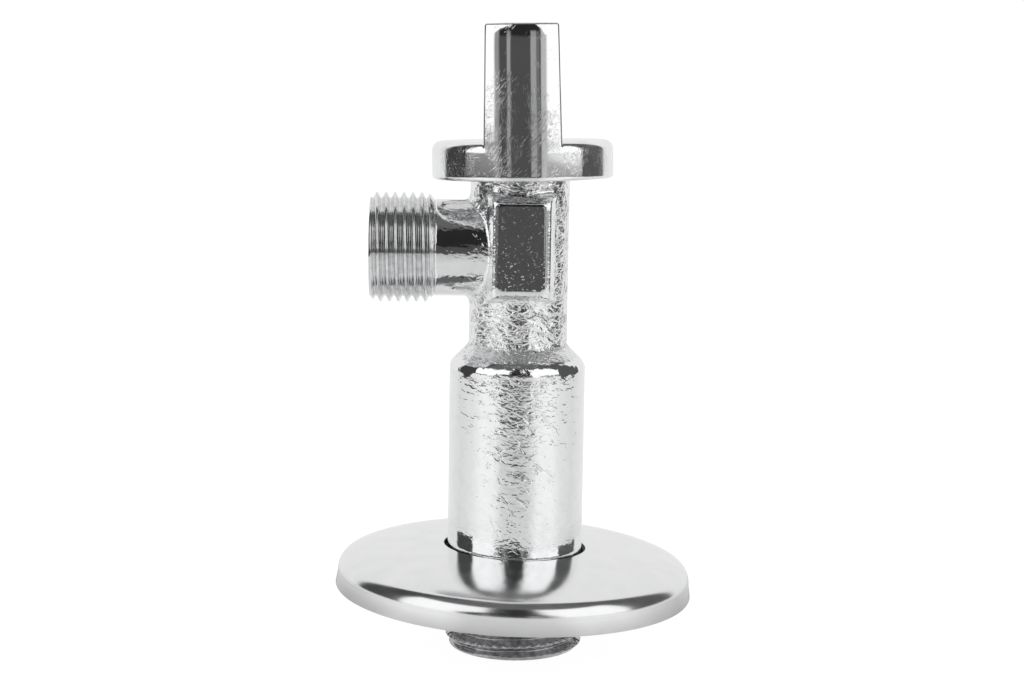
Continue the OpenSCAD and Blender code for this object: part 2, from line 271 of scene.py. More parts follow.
class Nodes:
    """A short way to build a node tree: call a node type with its inputs, and get the node back."""

    def __init__(self, tree):
        self.tree = tree
        tree.nodes.clear()

    def add(self, kind, inputs=None, **settings):
        node = self.tree.nodes.new(kind)
        for key, value in settings.items():
            setattr(node, key, value)
        for key, value in (inputs or {}).items():
            self.feed(node.inputs[key], value)
        return node

    def feed(self, socket, value):
        """Links a socket to another node's output, or sets its own value."""
        if isinstance(value, bpy.types.NodeSocket):
            self.tree.links.new(value, socket)
        else:
            socket.default_value = value

    def math(self, operation, *values):
        return self.add("ShaderNodeMath", dict(enumerate(values)), operation=operation).outputs[0]

    def plus(self, a, b):
        return self.math("ADD", a, b)

    def minus(self, a, b):
        return self.math("SUBTRACT", a, b)

    def times(self, a, b):
        return self.math("MULTIPLY", a, b)

    def ramp(self, value, stops):
        """A ramp through (position, grey) stops."""
        node = self.add("ShaderNodeValToRGB", {"Fac": value})
        for i, (at, grey) in enumerate(stops):
            element = node.color_ramp.elements[i] if i < 2 else node.color_ramp.elements.new(at)
            element.position = at
            element.color = (grey, grey, grey, 1)
        return node.outputs["Color"]

    def range(self, value, low, high, to_low=0.0, to_high=1.0):
        """to_low where the value is low, to_high where it is high, and held beyond them."""
        inputs = {"Value": value, "From Min": low, "From Max": high, "To Min": to_low, "To Max": to_high}
        return self.add("ShaderNodeMapRange", inputs).outputs["Result"]

    def noise(self, where, size_mm, detail=2.0, roughness=0.5, distortion=0.0):
        inputs = {
            "Vector": where,
            "Scale": 1 / size_mm,
            "Detail": detail,
            "Roughness": roughness,
            "Distortion": distortion,
        }
        return self.add("ShaderNodeTexNoise", inputs).outputs["Fac"]

    def place(self, stretch=(1, 1, 1), turn=(0, 0, 0)):
        """Object coordinates in millimetres, turned and then stretched."""
        where = self.add("ShaderNodeTexCoord").outputs["Object"]
        inputs = {"Vector": where, "Rotation": turn, "Scale": tuple(MM / s for s in stretch)}
        return self.add("ShaderNodeMapping", inputs, vector_type="TEXTURE").outputs["Vector"]

    def bump(self, height, depth_mm, normal=None):
        inputs = {"Height": height, "Distance": depth_mm * MM, "Strength": 1.0}
        if normal is not None:
            inputs["Normal"] = normal
        return self.add("ShaderNodeBump", inputs).outputs["Normal"]

    def split(self, vector):
        """The three parts of a vector."""
        return self.add("ShaderNodeSeparateXYZ", {"Vector": vector}).outputs

    def attribute(self, name):
        """What store() kept under that name."""
        return self.add("ShaderNodeAttribute", attribute_name=name).outputs["Fac"]

    def mixed(self, factor, a, b):
        """A colour between a and b. Sockets 6 and 7 are the colours of a mix node."""
        node = self.add("ShaderNodeMix", {"Factor": factor}, data_type="RGBA")
        for key, value in ((6, a), (7, b)):
            self.feed(node.inputs[key], (*value, 1) if isinstance(value, tuple) else value)
        return node.outputs[2]

    def surface(self, colour, roughness, normal, metallic=1.0):
        inputs = {"Base Color": colour, "Roughness": roughness, "Metallic": metallic, "Normal": normal}
        shader = self.add("ShaderNodeBsdfPrincipled", inputs)
        self.add("ShaderNodeOutputMaterial", {"Surface": shader.outputs[0]})


def new_material(name):
    material = bpy.data.materials.new(name)
    material.use_nodes = True
    return material, Nodes(material.node_tree)


def cast_chrome():
    """Chrome over a shot-blasted casting: grainy skin and dents with painted shade in them, haze on the
    cone, scratches on the pads.

    Four numbers kept at the mesh's points say how much of each there is.
    """
    material, n = new_material("cast_chrome")
    where = n.place()
    grainy = n.attribute("cast")
    frost = n.attribute("frost")
    pits_and_shade = n.attribute("pits_and_shade")
    pad = n.attribute("pad")
    broad = n.noise(where, 1.6, detail=3, roughness=0.55)
    skin = n.noise(n.place((1, 1, 1.7), (0, 0.2, 0)), 1.25, detail=1.4, distortion=0.6)
    fine = n.noise(where, 0.2)

    # wide dents in the skin, small nicks on the pads, both missing in patches
    dent_noise = n.noise(n.place((1, 1, 1.9), (0, 0.4, 0)), 1.8, detail=2.2, distortion=0.4)
    dents_and_shade = n.range(dent_noise, 0.44, 0.37)
    nicks = n.range(n.noise(n.place((1, 1, 1.5)), 0.42, distortion=0.6), 0.36, 0.24)
    dents_and_shade = n.plus(n.times(dents_and_shade, n.minus(1.0, pad)), n.times(nicks, pad))
    some = n.range(n.noise(where, 2.2, roughness=0.6), 0.36, 0.54)
    dents_and_shade = n.times(n.times(dents_and_shade, some), pits_and_shade)

    scratches = 0.0
    for turn in (0.5, 1.25, -0.7):
        line = n.noise(n.place((1, 1, 0.05), (0, turn, 0)), 0.10, detail=1)
        scratches = n.plus(scratches, n.range(line, 0.73, 0.80))
    scratches = n.times(scratches, pad)

    height = n.plus(skin, n.times(fine, 0.12))
    normal = n.bump(n.times(height, grainy), 0.32)
    normal = n.bump(n.times(dents_and_shade, -1.0), 0.10, normal)
    normal = n.bump(n.times(fine, frost), 0.05, normal)
    normal = n.bump(scratches, 0.004, normal)
    colour = n.mixed(n.range(broad, 0.3, 0.7), (0.88, 0.885, 0.89), (0.94, 0.945, 0.95))
    # painted shade: the dents are darkened toward grey in colour, as well as bumped
    colour = n.mixed(n.times(dents_and_shade, 0.4), colour, (0.30, 0.30, 0.31))
    roughness = n.plus(n.times(grainy, 0.03), n.range(broad, 0.3, 0.7, 0.03, 0.06))
    roughness = n.plus(roughness, n.times(frost, 0.12))
    roughness = n.plus(roughness, n.times(scratches, 0.2))
    n.surface(colour, roughness, normal)
    return material


def polished_chrome():
    """Buffed chrome with the fine slanting scratches that handling leaves, in patches."""
    material, n = new_material("polished_chrome")
    haze = n.noise(n.place(), 2.6, detail=3, roughness=0.55)
    low_down = n.range(n.split(n.place())[2], 88, 79, -0.04, 0.06)  # more of them low on the bar
    marks = 0.0
    for turn, least in ((0.85, 0.52), (0.65, 0.52), (-0.2, 0.56)):
        strokes = n.noise(n.place((1, 1, 0.05), (0, turn, 0)), 0.15, detail=1)
        patch = n.plus(n.noise(n.place(turn=(0, turn, 0)), 3.6, detail=3, roughness=0.6), low_down)
        worn = n.range(patch, least, least + 0.12)
        marks = n.plus(marks, n.times(n.range(strokes, 0.56, 0.66), worn))
    normal = n.bump(n.plus(n.times(haze, 0.2), n.times(marks, -0.6)), 0.0095)
    colour = n.mixed(n.range(haze, 0.3, 0.7), (0.90, 0.905, 0.91), (0.95, 0.95, 0.955))
    roughness = n.plus(n.range(haze, 0.3, 0.7, 0.02, 0.045), n.times(marks, 0.04))
    n.surface(colour, roughness, normal)
    return material


def thread_chrome(name, light, dark, axis, rough):
    """Cut thread: smooth flanks with the cutter's faint lines along them, and a little grime."""
    material, n = new_material(name)
    stretch = {"x": (1, 0.04, 0.04), "z": (0.04, 0.04, 1)}[axis]
    lines = n.noise(n.place(stretch), 0.1)
    grime = n.noise(n.place(), 0.8, detail=3, roughness=0.6)
    colour = n.mixed(n.range(grime, 0.35, 0.7), light, dark)
    n.surface(colour, n.range(grime, 0.3, 0.7, rough, rough * 2), n.bump(lines, 0.0015))
    return material


def plate_steel():
    """Spun stainless plate: rings left by the polishing wheel, a little haze, and painted shade along its
    lower edge.
    """
    material, n = new_material("plate_steel")
    x, y, z = n.split(n.add("ShaderNodeTexCoord").outputs["Object"])
    square = n.plus(n.times(x, x), n.times(y, y))
    radius = n.times(n.math("SQRT", square), 1 / MM)
    ring = n.add("ShaderNodeCombineXYZ", {"X": radius, "Z": n.times(z, 1 / MM)}).outputs[0]
    rings = n.noise(ring, 0.12, detail=3, roughness=0.6)
    cloud = n.noise(n.place(), 4.0, detail=3)
    speck = n.noise(n.place(), 0.3, roughness=0.6)
    normal = n.bump(n.plus(n.times(rings, 0.5), n.times(speck, 0.25)), 0.003)
    colour = n.mixed(n.range(cloud, 0.3, 0.7), (0.84, 0.845, 0.85), (0.89, 0.89, 0.895))
    # painted shade: the plate's lower edge is mixed toward a darker grey
    painted_foot_shade = n.times(n.attribute("foot"), n.range(cloud, 0.3, 0.7, 0.6, 0.9))
    colour = n.mixed(painted_foot_shade, colour, (0.58, 0.58, 0.585))
    roughness = n.plus(n.range(cloud, 0.3, 0.7, 0.12, 0.17), n.times(speck, 0.04))
    n.surface(colour, roughness, normal)
    return material


def turned_metal(name, light, dark, rough=0.22):
    """Turned metal with fine rings round Z and patches of tarnish."""
    material, n = new_material(name)
    rings = n.noise(n.place((0.05, 0.05, 1)), 0.08, roughness=0.6)
    tarnish = n.noise(n.place(), 1.6, detail=4, roughness=0.6)
    colour = n.mixed(n.range(tarnish, 0.35, 0.7), light, dark)
    roughness = n.range(tarnish, 0.3, 0.75, rough * 0.7, rough * 1.5)
    n.surface(colour, roughness, n.bump(rings, 0.01))
    return material


def soft_rubber():
    """Black rubber with a fine grain and a little dust."""
    material, n = new_material("soft_rubber")
    grain = n.noise(n.place(), 0.12, detail=3, roughness=0.6)
    dust = n.noise(n.place(), 1.3, detail=3, roughness=0.6)
    colour = n.mixed(n.range(dust, 0.45, 0.75), (0.018, 0.018, 0.019), (0.06, 0.06, 0.062))
    n.surface(colour, n.range(grain, 0.3, 0.7, 0.5, 0.75), n.bump(grain, 0.01), metallic=0.0)
    return material


# ---------------------------------------------------------------- valve body

BODY_STEP = 0.298
BARREL_R = 10.24
NECK_R = 7.4
SHOULDER_SUM = 53.83  # on the shoulder's cone, radius and height add up to this
BODY_FOOT = 12.3  # the inlet thread is a piece of its own below this
BODY_TOP = 72.0
SEAT_Z = 53.6

OUTLET_Z = 60.8
OUTLET_NECK_R = 7.23
OUTLET_NECK_END = 12.75  # the outlet thread is a piece of its own beyond this

PAD_Z = 61.38
PAD_FACE = 8.5  # half the distance across the two flats
PAD_FACE_HALF_WIDTH = 3.64
PAD_FLANK_HALF_WIDTH = 4.3  # 8 mm out from the middle, and wider towards it
PAD_ROOT_HALF_WIDTH = 5.9
PAD_TOP = 7.6  # above PAD_Z
PAD_FOOT = 7.8  # below PAD_Z
# a bevel at each end of a flat: the two parts of its direction, and how far from PAD_Z it starts
PAD_TOP_BEVEL = (0.748, 0.664, 6.45)
PAD_FOOT_BEVEL = (0.763, 0.646, 6.65)

INLET_BORE_R = 6.75
INLET_BORE_TOP = 38.5
SEAT_GROOVE = (4.5, 5.4, 1.4)  # inner radius, outer radius, depth
# (radius, height it starts at) of each bore that is open upwards: seat hole, chamber, thread, mouth
UPPER_BORES = ((3.7, 40), (5.4, SEAT_Z), (6.0, 66.6), (6.75, 70.85))
OUTLET_WATERWAY_R = 4.2
OUTLET_MOUTH = (5.1, -10.2)  # radius, and the x where it ends

# heights over which one region of the outside gives way to the next
BARREL_END = (42.2, 42.9)
SHOULDER_END = (44.2, 44.7)
CONE_START = (44.3, 44.8)
CONE_END = (46.3, 46.8)
NECK_RIM_START = (67.6, 69.4)


def pad_field(x, y, z):
    """The block with the two wrench pads: drafted flanks, narrow bevels, a flat face on each side."""
    px = np.abs(x)
    py = np.abs(y)
    pz = z - PAD_Z
    face = py - PAD_FACE
    bevel = 0.5 * (px - PAD_FACE_HALF_WIDTH) + 0.866 * face
    flank = (px - PAD_FLANK_HALF_WIDTH - 0.33 * (8 - py)) * 0.95
    flank = np.maximum(flank, px - PAD_ROOT_HALF_WIDTH)
    sides = round_and(bevel, flank, 0.15)
    end_draft = 0.2 * (py - 7.2)
    out, along, start = PAD_TOP_BEVEL
    top_bevel = out * face + along * (pz - start)
    top = round_and(top_bevel, (pz - PAD_TOP + end_draft) * 0.98, 0.3)
    out, along, start = PAD_FOOT_BEVEL
    foot_bevel = out * face - along * (pz + start)
    foot = round_and(foot_bevel, (-pz - PAD_FOOT + end_draft) * 0.98, 0.3)
    block = round_and(round_and(sides, top, 0.6), foot, 0.6)
    return round_and(block, face, 0.13)


def waterway_field(rho, side, x, z):
    """What is hollow. rho is the distance from the valve's axis, side the distance from the outlet's."""
    hollow = np.maximum(rho - INLET_BORE_R, z - INLET_BORE_TOP)
    cone = (rho * 3.5 + (z - INLET_BORE_TOP) * 3.05 - INLET_BORE_R * 3.5) / 4.65
    hollow = np.minimum(hollow, np.maximum(cone, INLET_BORE_TOP - 0.1 - z))
    for radius, foot in UPPER_BORES:
        hollow = np.minimum(hollow, np.maximum(rho - radius, foot - z))
    groove_in, groove_out, groove_depth = SEAT_GROOVE
    groove = np.maximum(np.maximum(rho - groove_out, groove_in - rho), SEAT_Z - groove_depth - z)
    hollow = np.minimum(hollow, groove)
    mouth_r, mouth_end = OUTLET_MOUTH
    tube = np.minimum(np.maximum(side - mouth_r, x - mouth_end), np.maximum(side - OUTLET_WATERWAY_R, x))
    return np.minimum(hollow, tube)


def body_field(x, y, z):
    """Distance to the body without its cut threads.

    At an obtuse corner the rounding is given as 0.3 of its radius.
    """
    rho = np.sqrt(x * x + y * y)
    side = np.sqrt(y * y + (z - OUTLET_Z) ** 2)
    shoulder = (rho + z - SHOULDER_SUM) / math.sqrt(2)
    lower = round_and(rho - BARREL_R, shoulder, 0.5)
    outer = round_or(lower, rho - NECK_R, 0.38)
    outer = round_or(outer, pad_field(x, y, z), 0.35)
    stub = round_and(np.maximum(side - OUTLET_NECK_R, x), -x - OUTLET_NECK_END, 0.25)
    # the fillet round the outlet's root grows above and below it
    root_fillet = 0.35 + 0.55 * np.clip(np.abs(z - OUTLET_Z) / 7.2, 0, 1.3) ** 3
    outer = round_or(outer, stub, root_fillet)
    outer = round_and(outer, z - BODY_TOP, 0.3)
    outer = round_and(outer, BODY_FOOT - z, 0.35)
    return round_and(outer, -waterway_field(rho, side, x, z), 0.15)


def build_body():
    """The forging, with what its material needs to know kept at its points.

    cast is how grainy the skin is, frost how hazy, pits_and_shade how dented and how much painted shade the
    dents get, and pad is 1 on the two flats.
    """
    points, quads, normals = surface_of(body_field, (-13.4, -11, 11.8), (11, 11, 72.6), BODY_STEP)
    x, y, z = points.T
    rho = np.hypot(x, y)
    side = np.hypot(y, z - OUTLET_Z)

    # where each region is, as 0 to 1
    inner = ((rho < 6.95) & (z < 71.5)) | ((side < 5.6) & (x < -4))
    outside = 1.0 - inner
    pad = step_up(np.abs(y), 8.3, 8.45) * (z > 50)
    near_pad = step_up(rho, 7.5, 7.9) * (z > 52.5) * (z < 70)
    outlet = step_up(-x, 7.0, 8.2) * (side < 8)
    barrel = 1 - step_up(z, *BARREL_END)
    shoulder = step_up(z, *BARREL_END) * (1 - step_up(z, *SHOULDER_END))
    cone = step_up(z, *CONE_START) * (1 - step_up(z, *CONE_END))
    strip = np.clip(1.25 - np.abs(x + 0.1) / 5.0, 0, 1)

    # the barrel is nearly smooth but for a strip down its front and back; the neck is grainy all over
    barrel_cast = 0.07 + strip * (0.10 + 0.20 * step_up(z, 16, 40)) + 0.35 * cone
    cast = np.where(z > 46.5, 1.0, barrel_cast)
    cast = cast * (1 - 0.72 * near_pad) * (1 - 0.45 * step_up(z, *NECK_RIM_START))
    cast = cast * (1 - outlet * (0.64 - 0.35 * step_up(z, 62, 65)))
    cast = cast * (1 - pad) + 0.02 * pad
    cast = np.clip(cast * (1 + 0.35 * lattice_noise(points, size=2.2, seed=5)), 0.01, 1.3) * outside

    # dents, and the painted shade in them, are thickest on that strip towards the barrel's top, low on the
    # pads, and all over the neck
    pits_and_shade = barrel * np.clip((z - 12) / 24, 0.15, 1) * (0.1 + 0.9 * strip)
    pits_and_shade = np.maximum(pits_and_shade, pad * np.clip((61 - z) / 8, 0.12, 0.8))
    neck_pits_and_shade = (1 - 0.6 * outlet) * (1 - 0.8 * near_pad) * (z > 44.5) * (1 - pad)
    pits_and_shade = np.maximum(pits_and_shade, neck_pits_and_shade) * outside * (1 - shoulder)

    lumps = 0.55 * lattice_noise(points, size=1.3, seed=1) + 0.45 * lattice_noise(points, size=0.72, seed=2)
    lumps = 0.035 * lumps * (cast + 2.2 * shoulder)
    swell = 0.02 * lattice_noise(points, size=6.0, seed=3) * (1 - shoulder)
    points = points + normals * ((lumps + swell) * outside)[:, None]
    obj = make_object("valve_body_forging", points, quads)
    store(obj, "cast", cast)
    store(obj, "frost", cone * outside)
    store(obj, "pits_and_shade", pits_and_shade)
    store(obj, "pad", pad * outside)
    return obj


# ---------------------------------------------------------------- threads

# how far up from its root (0) to its crest (1) a thread is, at each part of a pitch
THREAD_PHASE = [0, 0.06, 0.10, 0.14, 0.16, 0.25, 0.34, 0.36, 0.40, 0.44]
THREAD_RISE = [0, 0.025, 0.085, 0.182, 0.24, 0.5, 0.76, 0.818, 0.915, 0.975]
THREAD_PHASE += [0.5] + [1 - t for t in THREAD_PHASE[:0:-1]]
THREAD_RISE += [1] + THREAD_RISE[:0:-1]
CREST_START = 0.6  # notches are cut above this part of the rise
RUN_OUT_SLOPE = 1.3

OUTLET_FACE_X = -22.3
INLET_NOTCHES = 46
INLET_NOTCH_DEPTH = 0.22


def thread_sleeve(name, pitch, depth, crest_r, first_crest, length, ends, bore, segments, crest_cut=None):
    """A right-hand screw thread as one closed shell about Z, from its end face at z = 0.

    Rows of points follow the helix, so that the crests stay sharp. ends is the radius at each end,
    where the thread is chamfered. bore is the inner profile, from the end face inwards. crest_cut
    gives how much is cut off the crests at an angle.
    """
    per_pitch = len(THREAD_PHASE)
    first = -math.ceil(first_crest / pitch + 1.6)
    last = math.ceil((length - first_crest) / pitch + 0.6)
    turns = np.repeat(np.arange(first, last + 1), per_pitch)[:, None]
    phase = np.tile(THREAD_PHASE, last + 1 - first)[:, None]
    rise = np.tile(THREAD_RISE, last + 1 - first)[:, None]
    angle = np.arange(segments)[None] * TURN / segments
    along = (turns + phase - 0.5 + angle / TURN) * pitch + first_crest
    r = crest_r - depth * (1 - rise) + 0 * angle
    if crest_cut is not None:
        r = r - crest_cut(angle) * np.clip((rise - CREST_START) / 0.4, 0, 1)
    r = np.minimum(r, ends[0] + np.maximum(along, 0))
    r = np.minimum(r, ends[1] + np.maximum(length - along, 0) * RUN_OUT_SLOPE)
    r = np.where(along <= 0, ends[0], np.where(along >= length, ends[1], r))
    along = np.clip(along, 0, length)
    points = np.stack([r * np.cos(angle), r * np.sin(angle), along], -1).reshape(-1, 3)

    # quads between the rows, and the seam where each row's end meets the row one pitch on
    count = len(turns)
    end = segments - 1
    a, j = np.meshgrid(np.arange(count - 1) * segments, np.arange(end), indexing="ij")
    rows = np.stack([a + j, a + j + 1, a + segments + j + 1, a + segments + j], -1)
    a = np.arange(count - 1 - per_pitch) * segments
    on = per_pitch * segments
    seam = np.stack([a + end, a + on, a + segments + on, a + segments + end], -1)
    ring, faces = lathe([(ends[0], 0.0), *bore, (ends[1], length)], segments)
    faces = faces[: (len(bore) + 1) * segments] + len(points)
    quads = np.concatenate([rows.reshape(-1, 4), seam, faces])
    obj = make_object(name, np.concatenate([points, ring]), quads)
    weld(obj)
    return obj


def build_outlet_thread():
    obj = thread_sleeve(
        "outlet_thread",
        pitch=1.337,
        depth=0.86,
        crest_r=8.21,
        first_crest=1.0,
        length=9.68,
        ends=(7.35, 7.0),
        bore=[(6.25, 0.0), (5.09, 0.75), (5.09, 9.8)],
        segments=192,
    )
    # the sleeve's +Z becomes +X, and its angle 0 points up
    turn = Matrix(((0, 0, 1, OUTLET_FACE_X * MM), (0, -1, 0, 0), (1, 0, 0, OUTLET_Z * MM), (0, 0, 0, 1)))
    move_mesh(obj, turn)
    return obj


def build_inlet_thread():
    """The inlet thread, with the small notches that the photograph shows on its crests."""

    def notch(angle):
        wave = 0.5 + 0.5 * np.cos(angle * INLET_NOTCHES)
        return INLET_NOTCH_DEPTH * wave**2

    return thread_sleeve(
        "inlet_thread",
        pitch=1.814,
        depth=1.15,
        crest_r=10.43,
        first_crest=2.6,
        length=12.4,
        ends=(9.6, 9.3),
        bore=[(7.4, 0.0), (6.74, 0.7), (6.74, 13.2)],
        segments=INLET_NOTCHES * 6,
        crest_cut=notch,
    )


# ---------------------------------------------------------------- escutcheon

PLATE_TILT = 1.75
PLATE_PIVOT = 14.5
PLATE_R = 27.1
PLATE_FOOT = 8.73
PLATE_SHEET = 0.7
PLATE_ROUND_R = 2.6
PLATE_HOLE_R = 10.75
PLATE_FLARE = 0.3
PLATE_SLOPE = 27
PLATE_LIP_R = 0.3
PLATE_RIPPLE = 0.02  # how far its edge waves up and down


def lean(obj, degrees, height, shift=0.0):
    """Leans a mesh to one side as the camera sees it, about a point at that height.

    It is then shifted sideways.
    """
    pivot = Matrix.Translation((0, 0, height * MM))
    tilt = pivot @ Matrix.Rotation(math.radians(degrees), 4, "Y") @ pivot.inverted()
    move_mesh(obj, VIEW_TURN @ Matrix.Translation((shift * MM, 0, 0)) @ tilt)


def build_plate():
    """The domed plate, with its rounded rim, as one closed sheet. It hangs a little askew on the barrel."""
    rim_centre = (PLATE_R - PLATE_FLARE - PLATE_ROUND_R, PLATE_FOOT + 2.4)
    outer = arc(rim_centre, PLATE_ROUND_R, -4, 90 - PLATE_SLOPE, 36)
    inner = arc(rim_centre, PLATE_ROUND_R - PLATE_SHEET, 90 - PLATE_SLOPE, -4, 28)
    lip_x = PLATE_HOLE_R + PLATE_LIP_R

    def dome(radii, start):
        reach = start[0] - PLATE_HOLE_R
        t = (radii - PLATE_HOLE_R) / reach
        return np.stack([radii, start[1] + reach * (0.06 * (1 - t) + 0.088 * (1 - t**5))], 1)

    top = dome(np.linspace(outer[-1][0], lip_x, 60)[1:], outer[-1])
    bottom = dome(np.linspace(lip_x, inner[0][0], 40)[:-1], inner[0])
    lip = arc((lip_x, (top[-1][1] + bottom[0][1]) / 2), PLATE_LIP_R, 115, 245, 8)
    half_sheet = PLATE_SHEET / 2
    foot_edge = arc((PLATE_R - half_sheet, PLATE_FOOT + half_sheet), half_sheet, 180, 355, 9)
    points, quads = lathe(np.concatenate([foot_edge, outer, top, lip, bottom, inner]), 320)
    x, y, _ = points.T
    points[:, 2] += PLATE_RIPPLE * np.sin(2 * np.arctan2(y, x) + 0.7) * (x**2 + y**2) / 27**2
    obj = make_object("escutcheon_plate", points, quads)
    weld(obj)
    spots = np.empty(len(obj.data.vertices) * 3, np.float32)
    obj.data.vertices.foreach_get("co", spots)
    heights = spots[2::3] / MM
    # foot: painted shade along the plate's lower edge, for its material to darken
    store(obj, "foot", 1 - step_up(heights, PLATE_FOOT + 0.2, PLATE_FOOT + 1.7))
    lean(obj, PLATE_TILT, PLATE_PIVOT)
    return obj


# ---------------------------------------------------------------- handle

DISC_R = 13.5
DISC_Z = 71.3
DISC_TOP = 77.0
BAR_TOP = 93.7
DISC_ROUND_R = 1.45
BAR_HALF_WIDTH = 5.67  # at the disc's top
BAR_TAPER = 0.021  # narrower by this for each mm up
BAR_END_DRAFT = 0.008
BAR_LEAN_IN_Z = 91.2  # its ends curve inwards above this
SKIRT_HOLLOW = (12.0, 75.9)  # radius, and the height where it ends
BOSS = (4.4, 75.35)  # radius, and the height of its foot
POCKET = (3.7, 8.5, 3.2, 88.5)  # half width, distance of its middle from the axis, half length, top
SOCKET = (2.5, 82.9)  # half width of the square for the spindle, top
SCREW_HOLE_R = 1.65
SCREW_WELL = (3.4, 84.9)  # radius, foot
CAP_SEAT = (4.0, 91.6)  # radius, foot
HANDLE_TILT = -1.4
HANDLE_PIVOT = 79
HANDLE_SHIFT = 0.2
CAP_TOP = BAR_TOP + 0.12
CAP_SEGMENTS = 96


def handle_field(x, y, z):
    """Distance to the handle: a disc with a bar across it, hollow below, and the holes for its screw."""
    rho = np.sqrt(x * x + y * y)
    disc = round_and(rho - DISC_R, z - DISC_TOP, DISC_ROUND_R)
    draft = np.clip(z - DISC_TOP, 0, None) * BAR_END_DRAFT
    bar_side = (np.abs(x) - (BAR_HALF_WIDTH - BAR_TAPER * (z - DISC_TOP))) * 0.9998
    lean_in = 0.03 * np.clip(z - BAR_LEAN_IN_Z, 0, None) ** 2
    bar_ends = round_and(rho - (DISC_R - draft - lean_in), z - BAR_TOP, 0.45)
    bar = round_and(bar_ends, bar_side, 0.35)
    # the fillet between bar and disc dies out towards the disc's edge
    outer = round_or(disc, bar, 0.35 * np.clip((13.0 - rho) / 0.8, 0.02, 1))
    outer = round_and(outer, DISC_Z - z, 0.55)

    # hollow under the disc round a boss, and two pockets up into the bar
    skirt_r, skirt_top = SKIRT_HOLLOW
    boss_r, boss_foot = BOSS
    hollow = round_and(rho - skirt_r, z - skirt_top, 0.6)
    hollow = np.maximum(hollow, -np.maximum(rho - boss_r, boss_foot - z))
    half_width, middle, half_length, pocket_top = POCKET
    pocket = round_and(np.abs(x) - half_width, np.abs(np.abs(y) - middle) - half_length, 0.5)
    pocket = round_and(pocket, z - pocket_top, 0.5)

    # square socket for the spindle, screw hole, its head's well and the cap's seat
    socket_half, socket_top = SOCKET
    socket = np.maximum(np.maximum(np.abs(x), np.abs(y)) - socket_half, z - socket_top)
    hole = np.minimum(socket, rho - SCREW_HOLE_R)
    for radius, foot in (SCREW_WELL, CAP_SEAT):
        hole = np.minimum(hole, np.maximum(rho - radius, foot - z))
    hollow = np.minimum(np.minimum(hollow, pocket), hole)
    return round_and(outer, -hollow, 0.18)


def build_handle():
    step = 0.235
    points, quads, normals = surface_of(handle_field, (-14, -14, 70.9), (14, 14, 94.1), step)
    points = points + normals * (0.012 * lattice_noise(points, size=6.0, seed=9))[:, None]
    obj = make_object("handle_casting", points, quads)
    lean(obj, HANDLE_TILT, HANDLE_PIVOT, HANDLE_SHIFT)
    return obj


def build_cap():
    """The plug in the bar's top, a shade proud of it with a rounded edge."""
    profile = [(0.0, 89.0), (3.2, 89.0), (3.3, 89.6), (3.3, 91.66), (3.88, 91.66)]
    profile += arc((3.58, CAP_TOP - 0.3), 0.3, 0, 80, 7).tolist()
    profile += [(3.0, CAP_TOP + 0.02), (2.0, CAP_TOP + 0.05), (1.0, CAP_TOP + 0.07), (0.0, CAP_TOP + 0.075)]
    points, quads = lathe(profile, CAP_SEGMENTS)
    quads = quads[: (len(profile) - 1) * CAP_SEGMENTS]
    obj = make_object("index_plug", points, quads)
    weld(obj)
    lean(obj, HANDLE_TILT, HANDLE_PIVOT, HANDLE_SHIFT)
    return obj


# ---------------------------------------------------------------- put together

body = build_body()
outlet_thread = build_outlet_thread()
inlet_thread = build_inlet_thread()
plate = build_plate()
handle = build_handle()
cap = build_cap()

CAST = cast_chrome()
POLISHED = polished_chrome()
STEEL = plate_steel()
RUBBER = soft_rubber()
OUTLET = thread_chrome("outlet_thread_chrome", (0.84, 0.845, 0.85), (0.68, 0.68, 0.69), "x", 0.055)
# painted shade: the inlet thread, under the plate, gets a darker copy of the thread chrome
INLET = thread_chrome("inlet_thread_shaded_chrome", (0.50, 0.50, 0.51), (0.26, 0.26, 0.27), "z", 0.05)
BRASS = turned_metal("turned_brass", (0.74, 0.56, 0.30), (0.52, 0.37, 0.18))
NICKEL = turned_metal("nickel_brass", (0.66, 0.65, 0.62), (0.46, 0.45, 0.42))
SPRING = turned_metal("spring_steel", (0.34, 0.34, 0.35), (0.20, 0.20, 0.21), 0.3)
ZINC = turned_metal("zinc_steel", (0.68, 0.69, 0.72), (0.50, 0.51, 0.53), 0.25)
CAP = polished_chrome()
CAP.name = "cap_chrome"

for obj, material, body_name, node, slot in (
    (body, CAST, "valve", "valve_body", "chrome_body"),
    (outlet_thread, OUTLET, "valve", None, "chrome_body"),
    (inlet_thread, INLET, "valve", None, "chrome_body"),
    (plate, STEEL, "plate", "escutcheon", "polished_steel"),
    (handle, POLISHED, "turning", "handle", "chrome_handle"),
    (cap, CAP, "turning", "index_cap", "cap_plastic"),
):
    obj.data.materials.append(material)
    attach(obj, body_name)
    if node:
        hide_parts(node)

# the CAD nodes that are kept, under the material that each gets
KEPT = (
    (NICKEL, ("bonnet",)),
    (BRASS, ("spindle", "washer_carrier", "washer_plate", "washer_screw")),
    (RUBBER, ("bonnet_o_ring", "spindle_o_ring_lower", "spindle_o_ring_upper", "seat_washer")),
    (RUBBER, ("escutcheon_grip_ring",)),
    (SPRING, ("carrier_clip", "handle_lock_washer")),
    (ZINC, ("handle_screw",)),
)
for material, names in KEPT:
    for name in names:
        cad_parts[name].material_slots[0].material = material


# ---------------------------------------------------------------- stage and light

TABLE_HEIGHT = -0.15
FLOOR_HEIGHT = -0.3
TABLE_LEVEL = 0.95

# how bright reflections see the table, by degrees round from the camera's side
TABLE_TONES = (
    (0, 0.55), (22, 0.57), (38, 0.80), (60, 0.82), (78, 0.68), (105, 0.60), (125, 0.66), (180, 0.76),
)


